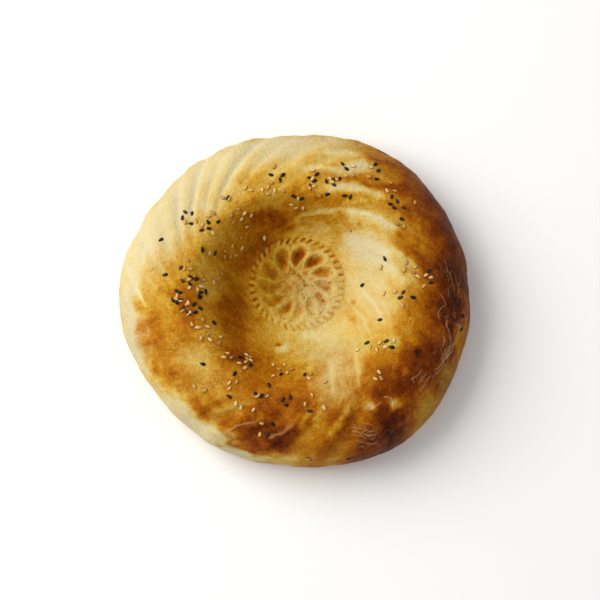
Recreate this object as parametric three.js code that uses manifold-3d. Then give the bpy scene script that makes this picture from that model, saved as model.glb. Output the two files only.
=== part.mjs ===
// Tandir bread: a round loaf with a puffy, fluted rim round a sunken middle that a pin stamp has
// pressed with a flower and a ring of dashes, and with sesame seeds scattered over the rim.
// Millimetres, +Z up. The origin is on the surface that the loaf rests on, under the middle of its box.

import * as THREE from 'three';
import { mergeVertices } from 'three/addons/utils/BufferGeometryUtils.js';
import Module from 'manifold-3d';

const TURN = 2 * Math.PI;

// Outline, seen from above: a mean radius and slow waves of [waves in a turn, height, degrees of a peak].
const OUTLINE_RADIUS = 103.6;
const OUTLINE_WAVES = [[2, 1.85, -16], [3, 1.6, 57], [4, 0.45, 45], [5, 0.35, 33], [6, 0.8, 2]];
const OUTLINE_STEPS = 720;

// The stamp, pressed a little off the loaf's middle.
const STAMP_X = 1.6;
const STAMP_Y = 8.5;
const STAMP_RADIUS = 28.5;
const STAMP_FAINTNESS = [1, 0.35, 280]; // it was pressed in less at the lower side

// Section through the rim.
const FLOOR_HEIGHT = 18;
const CREST_HEIGHT = 46.5;
const CREST_WAVES = [[1, 1.2, 250], [2, 1.0, 20], [3, 0.8, 75]];
const CREST_SHARE = 0.47; // of the way from the stamp's edge to the outline
const CREST_SHARE_WAVE = [1, 0.085, -90];
const GIRTH_HEIGHT = 15;
const FOOT_INSET = 10;
const SHOULDER_FULLNESS = 0.92; // below 1 is fuller than an ellipse
const SLOPE_EASE = 0.9; // below 1 makes the foot of the inner slope the steeper end

// Flutes, which sweep clockwise on their way out and crowd together at the upper left.
const FLUTES = 24;
const FLUTE_DEPTH = 1.0;
const FLUTE_GROOVE = 0.25; // a groove's half width, as a share of the way to the next flute
const FLUTE_UNEVENNESS = 0.4;
const FLUTE_VARIETY = 2.4; // radians from one flute to the next in the wave of their depths
const FLUTE_CROWDING = [[1, 0.2, 130], [2, 0.05, 120]];
const FLUTE_PITCH = 1.1; // radians turned while the distance from the middle grows 2.7 times
const FLUTE_PITCH_WAVE = [1, 0.15, 60];
const FLUTE_SETTLED_SHARE = 0.32; // the columns are evenly spread inside, and follow the flutes from here
const FLUTE_START = 0.9; // rows of the section where the flutes begin, are full, fade and end
const FLUTE_FULL = 1.3;
const FLUTE_FADE = 1.4;
const FLUTE_END = 2.9;

// Where the crust has puffed up and its flutes are almost gone: direction and width in degrees, share.
const SMOOTH_SIDES = [[-8, 52, 0.85], [62, 26, 0.65], [195, 26, 0.75]];

// The stamped flower and the ring of dashes round it.
const PETALS = 12;
const PETAL_START = 2; // degrees
const PETAL_CROWDING = [1, 8, 210]; // degrees that the petals are off their even places
const PETAL_MIDDLE = 16.3;
const PETAL_HALF_LENGTH = 6.6;
const PETAL_HALF_WIDTH = 3.5;
const PETAL_NARROWING = 0.5;
const PETAL_DEPTH = 1.9;
const PETAL_FLOOR_SHARE = 0.35; // of a petal, where its floor begins to rise
const PETAL_LIP = 0.8;
const PETAL_LIP_SHARE = 1.12; // of a petal, where its lip is highest
const PETAL_LIP_WIDTH = 0.2;
const PETAL_LEAST_WIDTH = 0.5;
const FLOWER_SWEEP = 0.55;
const DASHES = 40;
const DASH_DEPTH = 0.55;
const DASH_INNER = 25.3;
const DASH_OUTER = 28.6;
const DASH_MIDDLE = 26.4;
const DASH_SLANT = [1, 0.19, 100]; // of a dash for each millimetre out
const DASH_SWEEP = 0.12; // the same, taken off for the sweep that the columns already have
const KNOB_RADIUS = 6;
const KNOB_HEIGHT = 0.9;

// Rows and columns of the surface.
const COLUMNS = 120;
const SLOPE_ROWS = 5;
const SHOULDER_ROWS = 7;
const UNDER_ROWS = 2;
const STAMP_ROWS = [27.9, 26.4, 24.9, 23.2, 20.8, 18, 15.2, 12.4, 10];
const HALF_ROWS = [7.4, 4.9];
const QUARTER_ROW = 2.6;

// Seeds: a flat drop, partly sunk in the crust.
const SEED_LENGTH = 3.4;
const SEED_WIDTH = 1.95;
const SEED_THICKNESS = 1.2;
const SEED_TAPER = 0.3;
const SEED_RISE = 0.3;
const SEED_LEAST_SIZE = 0.9;
const SEED_SIZE_RANGE = 0.2;
const SEED_SIDES = 5;
const SEED_ROWS = 3;
const SEED_SPACING = 3.1;
const SEED_TRIES = 12;
const SEED_DRAW = 7;
const PALE_SEED_STEP = 4; // one pale seed in four is solid, and every dark one

// Where the seeds fell: [x, y, half width, half depth, dark seeds, pale seeds].
const SEED_PATCHES = [
  [-9, 70, 5, 6, 3, 1],
  [10, 66, 4, 6, 4, 4],
  [23, 65, 5, 3, 4, 4],
  [31, 72, 5, 5, 2, 3],
  [24, 56, 11, 3, 3, 1],
  [46, 71, 5, 6, 3, 2],
  [55, 62, 6, 4, 0, 3],
  [59, 51, 4, 6, 3, 0],
  [66, 50, 8, 5, 2, 1],
  [61, 39, 4, 4, 1, 2],
  [2, 53, 4, 4, 2, 4],
  [-13, 60, 7, 5, 0, 6],
  [-26, 60, 3, 3, 0, 2],
  [-39, 55, 3, 2, 1, 2],
  [-31, 44, 6, 6, 0, 7],
  [-49, 39, 6, 7, 4, 4],
  [-62, 42, 5, 5, 4, 2],
  [-35, 31, 5, 4, 0, 3],
  [-21, 38, 4, 4, 0, 1],
  [-80, 30, 3, 3, 1, 0],
  [-38, 23, 4, 3, 0, 4],
  [-50, 22, 5, 5, 2, 1],
  [-61, 14, 6, 4, 1, 3],
  [-45, 8, 3, 6, 0, 4],
  [-74, 6, 3, 3, 1, 0],
  [-58, 4, 7, 4, 4, 7],
  [-54, -2, 3, 3, 4, 1],
  [-67, -5, 4, 4, 5, 3],
  [-59, -12, 6, 4, 5, 4],
  [-54, -20, 6, 3, 0, 5],
  [-46, -18, 2, 2, 1, 0],
  [-47, -28, 7, 4, 0, 5],
  [-52, -44, 2, 2, 1, 0],
  [-27, -41, 5, 5, 2, 8],
  [-39, -40, 3, 3, 0, 3],
  [-9, -46, 8, 5, 1, 6],
  [-15, -54, 2, 2, 1, 0],
  [-34, -56, 5, 8, 2, 3],
  [-54, -59, 4, 5, 0, 2],
  [-19, -62, 4, 2, 2, 2],
  [-5, -64, 5, 3, 3, 0],
  [-29, -68, 7, 3, 0, 3],
  [-18, -80, 9, 4, 2, 2],
  [8, -50, 3, 2, 1, 2],
  [18, -60, 8, 9, 0, 3],
  [9, -68, 4, 6, 1, 1],
  [8, -97, 2, 1, 1, 1],
  [31, -97, 2, 1, 1, 0],
  [48, -50, 3, 3, 0, 3],
  [54, -31, 5, 3, 2, 4],
  [42, -34, 6, 6, 1, 3],
  [49, -18, 2, 2, 1, 0],
  [65, -5, 4, 6, 3, 1],
  [56, 0, 4, 3, 0, 2],
  [76, 7, 6, 7, 2, 4],
  [68, 13, 5, 4, 0, 4],
  [52, 20, 3, 7, 1, 1],
  [40, 8, 2, 2, 1, 0],
  [34, 37, 2, 2, 0, 1],
  [98, -16, 3, 10, 2, 0],
];

const STEEPEST_NORMAL = 0.05; // a seed lies on a face whose normal points up more than this
const WELD_DISTANCE = 1e-4;

// The numbers of a repeatable draw.
const DRAW_FACTOR = 1664525;
const DRAW_STEP = 1013904223;
const DRAW_RANGE = 4294967296;

const radians = THREE.MathUtils.degToRad;

function wave([count, height, peak], angle) {
  return height * Math.cos(count * (angle - radians(peak)));
}

function waves(list, angle) {
  return list.reduce((sum, one) => sum + wave(one, angle), 0);
}

function ramp(value, low, high) {
  return THREE.MathUtils.smoothstep(value, low, high);
}

function outlinePoint(angle) {
  const radius = OUTLINE_RADIUS + waves(OUTLINE_WAVES, angle);
  return new THREE.Vector2(radius * Math.cos(angle), radius * Math.sin(angle));
}

// The outline's own box decides where the loaf's middle is.
function outlineMiddle() {
  const box = new THREE.Box2();
  for (let step = 0; step < OUTLINE_STEPS; step++) {
    box.expandByPoint(outlinePoint(TURN * step / OUTLINE_STEPS));
  }
  return box.getCenter(new THREE.Vector2());
}

const loafMiddle = outlineMiddle();
const stampMiddle = new THREE.Vector2(STAMP_X, STAMP_Y);

// A place between the stamp's edge (share 0) and the outline (share 1).
function planPoint(angle, share) {
  const edge = new THREE.Vector2(Math.cos(angle), Math.sin(angle)).multiplyScalar(STAMP_RADIUS);
  const inner = edge.add(stampMiddle);
  return inner.lerp(outlinePoint(angle).sub(loafMiddle), share);
}

// A column of the surface follows a flute: a spiral, with the same crowding.
function columnAngle(column, share) {
  const even = TURN * column;
  const crowding = FLUTE_CROWDING.reduce(
    (sum, [count, height, peak]) => sum + height * Math.sin(count * (even - radians(peak))),
    0,
  );
  const distance = STAMP_RADIUS + (OUTLINE_RADIUS - STAMP_RADIUS) * share;
  const turned = Math.log(OUTLINE_RADIUS / distance);
  const uneven = wave(FLUTE_PITCH_WAVE, even) * turned - crowding;
  return even + FLUTE_PITCH * turned + ramp(share, 0, FLUTE_SETTLED_SHARE) * uneven;
}

// The section: t goes 0 to 1 from the stamp up to the crest, 1 to 2 over the shoulder to the girth,
// and 2 to 3 under the girth to the foot. tilt is how far the surface faces outward.
function section(t, angle) {
  const crestShare = CREST_SHARE + wave(CREST_SHARE_WAVE, angle);
  const crest = CREST_HEIGHT + waves(CREST_WAVES, angle);
  if (t <= 1) {
    const rise = 0.5 - 0.5 * Math.cos(Math.PI * Math.pow(t, SLOPE_EASE));
    return { share: crestShare * t, height: FLOOR_HEIGHT + (crest - FLOOR_HEIGHT) * rise, tilt: 0 };
  }
  if (t <= 2) {
    const turn = (t - 1) * Math.PI / 2;
    const out = Math.pow(Math.sin(turn), SHOULDER_FULLNESS);
    const up = Math.pow(Math.max(Math.cos(turn), 0), SHOULDER_FULLNESS);
    return {
      share: crestShare + (1 - crestShare) * out,
      height: GIRTH_HEIGHT + (crest - GIRTH_HEIGHT) * up,
      tilt: Math.sin(turn),
    };
  }
  const turn = (t - 2) * Math.PI / 2;
  return {
    share: 1 - FOOT_INSET / OUTLINE_RADIUS * (1 - Math.cos(turn)),
    height: GIRTH_HEIGHT * (1 - Math.sin(turn)),
    tilt: 1,
  };
}

// How strongly the flutes show in this direction.
function fluteStrength(angle) {
  return SMOOTH_SIDES.reduce((strength, [direction, width, share]) => {
    const turn = angle - radians(direction);
    const across = Math.atan2(Math.sin(turn), Math.cos(turn)) / radians(width);
    return strength * (1 - share * Math.exp(-across * across));
  }, 1);
}

// How deep the flutes are cut here, from 0 at the lobes' tops.
function fluteRelief(column, t, angle) {
  const along = ramp(t, FLUTE_START, FLUTE_FULL) * (1 - ramp(t, FLUTE_FADE, FLUTE_END));
  const flute = Math.round(FLUTES * column);
  const across = (FLUTES * column - flute) / FLUTE_GROOVE;
  const own = 1 + FLUTE_UNEVENNESS * Math.sin(FLUTE_VARIETY * flute);
  return -FLUTE_DEPTH * own * fluteStrength(angle) * along * Math.exp(-across * across);
}

function rimPoint(column, t) {
  const straight = section(t, TURN * column);
  const angle = columnAngle(column, straight.share);
  const { share, height, tilt } = section(t, angle);
  const place = planPoint(angle, share);
  const relief = fluteRelief(column, t, angle);
  place.x += relief * tilt * Math.cos(angle);
  place.y += relief * tilt * Math.sin(angle);
  return new THREE.Vector3(place.x, place.y, height + relief * Math.sqrt(1 - tilt * tilt));
}

// How firmly the stamp was pressed in here, from 0.3 to 1.
function pressure(angle) {
  return 1 - STAMP_FAINTNESS[1] - wave(STAMP_FAINTNESS, angle);
}

// Petals are drops with a raised lip, narrow towards the middle.
function petalRelief(angle, radius) {
  const even = angle - radians(wave(PETAL_CROWDING, angle) + PETAL_START);
  const turns = even * PETALS / TURN;
  const across = (turns - Math.round(turns)) * TURN / PETALS * radius;
  const along = (radius - PETAL_MIDDLE) / PETAL_HALF_LENGTH;
  const halfWidth = PETAL_HALF_WIDTH * (1 + PETAL_NARROWING * along);
  const reach = Math.hypot(along, across / Math.max(halfWidth, PETAL_LEAST_WIDTH));
  const floor = -PETAL_DEPTH * (1 - ramp(reach, PETAL_FLOOR_SHARE, 1));
  const lip = PETAL_LIP * Math.exp(-Math.pow((reach - PETAL_LIP_SHARE) / PETAL_LIP_WIDTH, 2));
  return (floor + lip) * pressure(angle);
}

function dashRelief(column, radius, angle) {
  const inRing = radius > DASH_INNER && radius < DASH_OUTER ? 1 : 0;
  const slant = wave(DASH_SLANT, angle) - DASH_SWEEP;
  const dash = DASHES * column + slant * (radius - DASH_MIDDLE);
  return -DASH_DEPTH * pressure(angle) * inRing * Math.cos(TURN * dash);
}

function stampPoint(column, radius) {
  const edge = columnAngle(column, 0);
  const angle = edge + FLOWER_SWEEP * (1 - radius / STAMP_RADIUS);
  const atPetals = edge + FLOWER_SWEEP * (1 - PETAL_MIDDLE / STAMP_RADIUS);
  const knob = KNOB_HEIGHT * (1 - ramp(radius, 0, KNOB_RADIUS));
  const relief = petalRelief(atPetals, radius) + dashRelief(column, radius, angle) + knob;
  return new THREE.Vector3(
    STAMP_X + radius * Math.cos(angle),
    STAMP_Y + radius * Math.sin(angle),
    FLOOR_HEIGHT + relief,
  );
}

// The crust is rows of points from the middle of the stamp out over the rim and under to the base.
function crustGeometry() {
  const points = [];
  const faces = [];

  function addRow(count, place) {
    const start = points.length;
    for (let i = 0; i < count; i++) {
      points.push(place(i / count));
    }
    return { start, count };
  }

  // Joins two rows of equal count, or an outer row of twice the inner row's count.
  function join(inner, outer) {
    const ratio = outer.count / inner.count;
    for (let i = 0; i < inner.count; i++) {
      const a = inner.start + i;
      const b = inner.start + (i + 1) % inner.count;
      const c = outer.start + i * ratio;
      const d = outer.start + (i * ratio + 1) % outer.count;
      const e = outer.start + (i * ratio + ratio) % outer.count;
      if (ratio === 1) {
        faces.push([a, c, d], [a, d, b]);
      } else {
        faces.push([a, c, d], [a, d, b], [b, d, e]);
      }
    }
  }

  function fan(tip, row, upward) {
    for (let i = 0; i < row.count; i++) {
      const a = row.start + i;
      const b = row.start + (i + 1) % row.count;
      faces.push(upward ? [tip, a, b] : [tip, b, a]);
    }
  }

  const rows = [addRow(COLUMNS / 4, (column) => stampPoint(column, QUARTER_ROW))];
  for (const radius of HALF_ROWS) {
    rows.push(addRow(COLUMNS / 2, (column) => stampPoint(column, radius)));
  }
  for (const radius of [...STAMP_ROWS].reverse()) {
    rows.push(addRow(COLUMNS, (column) => stampPoint(column, radius)));
  }
  for (let i = 0; i < SLOPE_ROWS; i++) {
    rows.push(addRow(COLUMNS, (column) => rimPoint(column, i / SLOPE_ROWS)));
  }
  for (let i = 0; i < SHOULDER_ROWS; i++) {
    rows.push(addRow(COLUMNS, (column) => rimPoint(column, 1 + i / SHOULDER_ROWS)));
  }
  for (let i = 0; i <= UNDER_ROWS; i++) {
    rows.push(addRow(COLUMNS, (column) => rimPoint(column, 2 + i / UNDER_ROWS)));
  }
  for (let i = 1; i < rows.length; i++) {
    join(rows[i - 1], rows[i]);
  }
  const top = points.push(stampPoint(0, 0)) - 1;
  fan(top, rows[0], true);
  const bottom = points.push(new THREE.Vector3(STAMP_X, STAMP_Y, 0)) - 1;
  fan(bottom, rows[rows.length - 1], false);

  const geometry = new THREE.BufferGeometry().setFromPoints(points);
  geometry.setIndex(faces.flat());
  return geometry;
}

// A repeatable draw between 0 and 1.
function makeRandom(seed) {
  let state = seed;
  return () => {
    state = (state * DRAW_FACTOR + DRAW_STEP) % DRAW_RANGE;
    return state / DRAW_RANGE;
  };
}

// Scatters every patch's seeds, dark ones first, keeping them from lying on one another.
function scatterSeeds() {
  const random = makeRandom(SEED_DRAW);
  const seeds = [];
  for (const [x, y, halfWidth, halfDepth, dark, pale] of SEED_PATCHES) {
    for (let i = 0; i < dark + pale; i++) {
      let place;
      for (let attempt = 0; attempt < SEED_TRIES; attempt++) {
        const reach = Math.sqrt(random());
        const angle = TURN * random();
        place = new THREE.Vector2(
          x + halfWidth * reach * Math.cos(angle),
          y + halfDepth * reach * Math.sin(angle),
        );
        if (seeds.every((seed) => seed.place.distanceTo(place) > SEED_SPACING)) {
          break;
        }
      }
      const heading = TURN * random();
      const size = SEED_LEAST_SIZE + SEED_SIZE_RANGE * random();
      seeds.push({ place, heading, size, isDark: i < dark });
    }
  }
  return seeds;
}

// Height and slope of the crust's upper side under a place on the plan.
function crustAt(geometry, place) {
  const positions = geometry.getAttribute('position');
  const triangle = new THREE.Triangle();
  const bary = new THREE.Vector3();
  const normal = new THREE.Vector3();
  for (let i = 0; i < geometry.index.count; i += 3) {
    triangle.setFromAttributeAndIndices(
      positions,
      geometry.index.getX(i),
      geometry.index.getX(i + 1),
      geometry.index.getX(i + 2),
    );
    triangle.getNormal(normal);
    if (normal.z < STEEPEST_NORMAL) {
      continue;
    }
    const { a, b, c } = triangle;
    const area = (b.x - a.x) * (c.y - a.y) - (c.x - a.x) * (b.y - a.y);
    bary.y = ((place.x - a.x) * (c.y - a.y) - (c.x - a.x) * (place.y - a.y)) / area;
    bary.z = ((b.x - a.x) * (place.y - a.y) - (place.x - a.x) * (b.y - a.y)) / area;
    bary.x = 1 - bary.y - bary.z;
    if (Math.min(bary.x, bary.y, bary.z) >= 0) {
      return { height: a.z * bary.x + b.z * bary.y + c.z * bary.z, normal };
    }
  }
  return null;
}

function seedGeometry(seed, geometry) {
  const found = crustAt(geometry, seed.place);
  const shape = new THREE.SphereGeometry(1, SEED_SIDES, SEED_ROWS);
  const positions = shape.getAttribute('position');
  for (let i = 0; i < positions.count; i++) {
    const narrow = 1 - SEED_TAPER * positions.getY(i);
    positions.setX(i, positions.getX(i) * narrow);
  }
  shape.scale(SEED_WIDTH / 2 * seed.size, SEED_LENGTH / 2 * seed.size, SEED_THICKNESS / 2);

  const up = found.normal;
  const heading = new THREE.Vector3(Math.cos(seed.heading), Math.sin(seed.heading), 0);
  const side = new THREE.Vector3().crossVectors(heading, up).normalize();
  const ahead = new THREE.Vector3().crossVectors(up, side);
  const pose = new THREE.Matrix4().makeBasis(side, ahead, up);
  pose.setPosition(
    seed.place.x + SEED_RISE * up.x,
    seed.place.y + SEED_RISE * up.y,
    found.height + SEED_RISE * up.z,
  );
  return shape.applyMatrix4(pose);
}

const wasm = await Module();
wasm.setup();

function toSolid(geometry) {
  const bare = geometry.clone();
  bare.deleteAttribute('normal');
  bare.deleteAttribute('uv');
  const merged = mergeVertices(bare, WELD_DISTANCE);
  return new wasm.Manifold(new wasm.Mesh({
    numProp: 3,
    vertProperties: new Float32Array(merged.getAttribute('position').array),
    triVerts: new Uint32Array(merged.index.array),
  }));
}

function toGeometry(solid) {
  const mesh = solid.getMesh();
  const geometry = new THREE.BufferGeometry();
  geometry.setAttribute('position', new THREE.BufferAttribute(mesh.vertProperties, 3));
  geometry.setIndex(new THREE.BufferAttribute(mesh.triVerts, 1));
  geometry.computeVertexNormals();
  return geometry;
}

function breadGeometry() {
  const crust = crustGeometry();
  const seeds = scatterSeeds();
  const dark = seeds.filter((seed) => seed.isDark);
  const pale = seeds.filter((seed) => !seed.isDark).filter((seed, i) => i % PALE_SEED_STEP === 0);
  let solid = toSolid(crust);
  for (const seed of [...dark, ...pale]) {
    solid = solid.add(toSolid(seedGeometry(seed, crust)));
  }
  return toGeometry(solid);
}

const crustMaterial = new THREE.MeshStandardMaterial({ color: 0xcf9440, roughness: 0.6, metalness: 0 });

const bread = new THREE.Mesh(breadGeometry(), crustMaterial);
bread.name = 'bread';

const tandirBread = new THREE.Group();
tandirBread.add(bread);

export default tandirBread;
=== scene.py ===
"""Tandir bread: a round loaf with a fluted rim, a stamped middle and sesame seeds.

The loaf's form repeats the solid's named sizes in millimetres, at a finer grid, with the fine relief
and the browning on top. Seen from above, +X is the photograph's right and +Y its top.
"""
import math

import bpy
import numpy as np
from mathutils import Matrix, Vector
from mathutils.bvhtree import BVHTree


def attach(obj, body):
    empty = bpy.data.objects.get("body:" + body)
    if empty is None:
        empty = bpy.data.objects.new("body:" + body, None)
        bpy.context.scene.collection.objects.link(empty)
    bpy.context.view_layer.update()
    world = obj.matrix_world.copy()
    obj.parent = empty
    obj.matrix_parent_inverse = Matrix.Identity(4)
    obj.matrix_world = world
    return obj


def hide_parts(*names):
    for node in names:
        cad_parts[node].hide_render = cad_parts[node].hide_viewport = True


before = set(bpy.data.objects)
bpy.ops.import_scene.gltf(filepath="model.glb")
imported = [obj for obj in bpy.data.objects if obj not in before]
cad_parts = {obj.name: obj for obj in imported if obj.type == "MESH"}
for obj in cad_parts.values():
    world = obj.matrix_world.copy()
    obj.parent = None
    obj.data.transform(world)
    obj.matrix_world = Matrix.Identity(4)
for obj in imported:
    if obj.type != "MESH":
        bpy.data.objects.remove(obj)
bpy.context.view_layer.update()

MM = 0.001
TURN = 2 * math.pi

# ---------------------------------------------------------------- the loaf's form, as in the solid

OUTLINE_RADIUS = 103.6
OUTLINE_STEPS = 720
OUTLINE_WAVES = [(2, 1.85, -16), (3, 1.6, 57), (4, 0.45, 45), (5, 0.35, 33), (6, 0.8, 2)]

STAMP_X, STAMP_Y = 1.6, 8.5
STAMP_RADIUS = 28.5
STAMP_FAINTNESS = (1, 0.35, 280)

FLOOR_HEIGHT = 18
CREST_HEIGHT = 46.5
CREST_WAVES = [(1, 1.2, 250), (2, 1.0, 20), (3, 0.8, 75)]
CREST_SHARE = 0.47
CREST_SHARE_WAVE = (1, 0.085, -90)
GIRTH_HEIGHT = 15
FOOT_INSET = 10
SHOULDER_FULLNESS = 0.92
SLOPE_EASE = 0.9

FLUTES = 24
FLUTE_DEPTH = 1.0
FLUTE_GROOVE = 0.25
FLUTE_UNEVENNESS = 0.4
FLUTE_VARIETY = 2.4
FLUTE_CROWDING = [(1, 0.2, 130), (2, 0.05, 120)]
FLUTE_PITCH = 1.1
FLUTE_PITCH_WAVE = (1, 0.15, 60)
FLUTE_SETTLED_SHARE = 0.32
FLUTE_START, FLUTE_FULL = 0.9, 1.3
FLUTE_FADE, FLUTE_END = 1.4, 2.9
SMOOTH_SIDES = [(-8, 52, 0.85), (62, 26, 0.65), (195, 26, 0.75)]

PETALS = 12
PETAL_START = 2
PETAL_MIDDLE = 16.3
PETAL_HALF_LENGTH = 6.6
PETAL_HALF_WIDTH = 3.5
PETAL_NARROWING = 0.5
PETAL_DEPTH = 1.9
PETAL_LIP = 0.8
PETAL_CROWDING = (1, 8, 210)     # degrees
PETAL_LEAST_WIDTH = 0.5
PETAL_FLOOR = 0.25, 1.05         # in shares of the petal's half width: where its floor ends
LIP_REACH, LIP_WIDTH = 1.2, 0.24
LIP_RADII = 6, 12                # from the stamp's middle: where the lips come in
FLOWER_SWEEP = 0.55
DASHES = 40
DASH_DEPTH = 0.55
DASH_START = 24.7, 25.7          # radii over which the dashes come in
DASH_END = 28.1, 29.0            # and over which they go out
DASH_LAST_ROW = 0.1
DASH_MIDDLE = 26.4
DASH_SLANT = (1, 0.19, 100)      # of a dash for each millimetre out
DASH_SWEEP = 0.12
KNOB_RADIUS = 6
KNOB_HEIGHT = 0.9

SEED_LENGTH = 3.4
SEED_WIDTH = 1.95
SEED_THICKNESS = 1.2
SEED_TAPER = 0.3
SEED_RISE = 0.3
SEED_SPACING = 3.1
SEED_TRIES = 12
SEED_LEAST, SEED_MOST = 0.9, 1.1
SEED_SEGMENTS, SEED_RINGS = 12, 8
SEED_SHADE_RIM = 0.1, 0.75             # heights in shares of its half thickness over which the painted shade of its sides and underside ends

# Where the seeds fell: (x, y, half width, half depth, dark seeds, pale seeds).
SEED_PATCHES = [
    (-9, 70, 5, 6, 3, 1),
    (10, 66, 4, 6, 4, 4),
    (23, 65, 5, 3, 4, 4),
    (31, 72, 5, 5, 2, 3),
    (24, 56, 11, 3, 3, 1),
    (46, 71, 5, 6, 3, 2),
    (55, 62, 6, 4, 0, 3),
    (59, 51, 4, 6, 3, 0),
    (66, 50, 8, 5, 2, 1),
    (61, 39, 4, 4, 1, 2),
    (2, 53, 4, 4, 2, 4),
    (-13, 60, 7, 5, 0, 6),
    (-26, 60, 3, 3, 0, 2),
    (-39, 55, 3, 2, 1, 2),
    (-31, 44, 6, 6, 0, 7),
    (-49, 39, 6, 7, 4, 4),
    (-62, 42, 5, 5, 4, 2),
    (-35, 31, 5, 4, 0, 3),
    (-21, 38, 4, 4, 0, 1),
    (-80, 30, 3, 3, 1, 0),
    (-38, 23, 4, 3, 0, 4),
    (-50, 22, 5, 5, 2, 1),
    (-61, 14, 6, 4, 1, 3),
    (-45, 8, 3, 6, 0, 4),
    (-74, 6, 3, 3, 1, 0),
    (-58, 4, 7, 4, 4, 7),
    (-54, -2, 3, 3, 4, 1),
    (-67, -5, 4, 4, 5, 3),
    (-59, -12, 6, 4, 5, 4),
    (-54, -20, 6, 3, 0, 5),
    (-46, -18, 2, 2, 1, 0),
    (-47, -28, 7, 4, 0, 5),
    (-52, -44, 2, 2, 1, 0),
    (-27, -41, 5, 5, 2, 8),
    (-39, -40, 3, 3, 0, 3),
    (-9, -46, 8, 5, 1, 6),
    (-15, -54, 2, 2, 1, 0),
    (-34, -56, 5, 8, 2, 3),
    (-54, -59, 4, 5, 0, 2),
    (-19, -62, 4, 2, 2, 2),
    (-5, -64, 5, 3, 3, 0),
    (-29, -68, 7, 3, 0, 3),
    (-18, -80, 9, 4, 2, 2),
    (8, -50, 3, 2, 1, 2),
    (18, -60, 8, 9, 0, 3),
    (9, -68, 4, 6, 1, 1),
    (8, -97, 2, 1, 1, 1),
    (31, -97, 2, 1, 1, 0),
    (48, -50, 3, 3, 0, 3),
    (54, -31, 5, 3, 2, 4),
    (42, -34, 6, 6, 1, 3),
    (49, -18, 2, 2, 1, 0),
    (65, -5, 4, 6, 3, 1),
    (56, 0, 4, 3, 0, 2),
    (76, 7, 6, 7, 2, 4),
    (68, 13, 5, 4, 0, 4),
    (52, 20, 3, 7, 1, 1),
    (40, 8, 2, 2, 1, 0),
    (34, 37, 2, 2, 0, 1),
    (98, -16, 3, 10, 2, 0),
]

# ---------------------------------------------------------------- what only the fine surface has

# The grid, coarser towards the middle of the stamp and of the base. A run of rows is (first, last,
# number of rows, points in each), by radius in the stamp and by row on the rim. A row of the base is
# (part of the way out, points).
STAMP_ROWS = [(0.8, 4.8, 10, 90), (5.2, 13.8, 22, 180), (14.2, 28.1, 34, 360)]
RIM_ROWS = [(0, 0.54, 26, 360), (0.56, 0.98, 17, 720), (1, 2, 60, 720), (2.08, 3, 12, 720)]
BASE_ROWS = [(0.985, 360), (0.96, 180), (0.9, 90), (0.6, 90), (0.3, 45)]

# Streaks in the colour run along the flutes: the space that they are laid out in.
FLOW_RADIUS = 60
FLOW_LENGTH = 25

# How much less browned a flute's groove is than its lobes, about a mean of its profile, and how
# creamy the groove is, with more of it on one side: (direction and half angle in degrees, amount).
FLUTE_PALENESS = 0.14
FLUTE_MEAN = 0.35
GROOVE_CREAM = 0.05
CREAMY_GROOVES = [(130, 35, 0.2)]

# Painted shade: how much darker the dark side's edge is made, where it turns away from the light, and
# over which rows it comes in.
EDGE_SHADE = [(0, 85, 0.2)]
EDGE_ROWS = 1.5, 2.1

# Ripples: (amount, length, seed) or, where they bend the plan, (shift, length, seeds for x and y).
RAGGED_EDGES = [(2.6, 22, 31, 33), (1.3, 7, 32, 34)]
WAVY_LINES = [(0.5, 9, 41, 42), (0.25, 4, 43, 44)]
BAKE_RIPPLES = [(0.035, 10, 35), (0.03, 4, 36)]
SIDE_RIPPLES = [(0.1, 26, 51)]
STAMP_RIPPLES = [(0.05, 5, 37)]
BROAD_RIPPLES = 0.45, 26, 3
MIDDLING_RIPPLES = 0.16, 8, 5
FINE_RIPPLES = 0.05, 2.8, 9
FINE_IN_STAMP = 0.6
BROAD_ROWS = 0, 0.6              # rows over which the broad ripples come in
RIPPLE_WAVES = 18
RIPPLE_SHORTEST, RIPPLE_LONGEST = 0.7, 1.3       # of the ripple's length
RIPPLE_SPREAD = 0.6

# Shares of a line's length over which it comes in and goes out.
LINE_START = 0, 0.15
LINE_END = 0.8, 1

SPOT_EDGE = 1.3                  # how steeply a browned, creamy or other spot ends

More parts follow.
